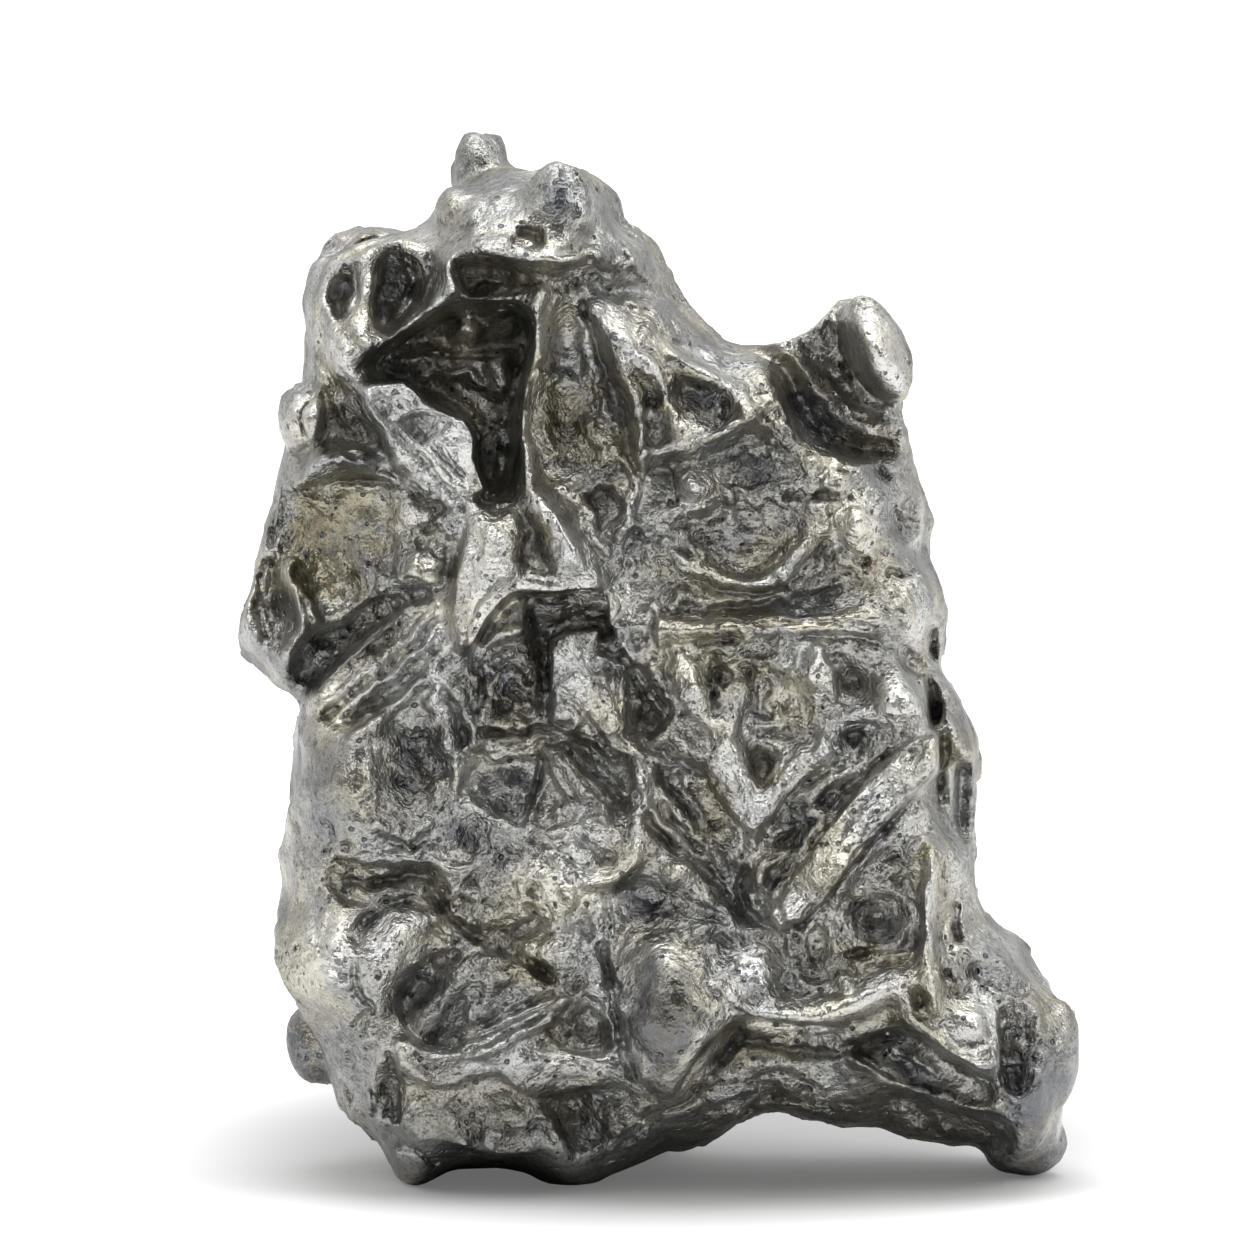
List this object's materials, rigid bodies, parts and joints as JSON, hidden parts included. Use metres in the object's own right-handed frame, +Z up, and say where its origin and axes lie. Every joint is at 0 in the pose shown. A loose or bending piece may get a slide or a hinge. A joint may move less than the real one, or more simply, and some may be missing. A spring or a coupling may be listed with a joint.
{
  "type": "iron meteorite",
  "caption": "Palm-sized iron meteorite: a folded, pitted and pocketed lump of bare metal with a short horn, standing upright on worn feet",
  "frame": {"origin": "middle of the lump's bounding box, on the surface it stands on", "axes": "+Z up, -Y out of the broad folded front, +X towards the wide foot"},
  "size_m": [0.042, 0.0251, 0.0517],
  "materials": {
    "meteoric_iron": "bare metal, worn bright on the high places and dark in the pockets"
  },
  "bodies": {
    "root": {"meteorite": "meteoric_iron"}
  },
  "joints": []
}
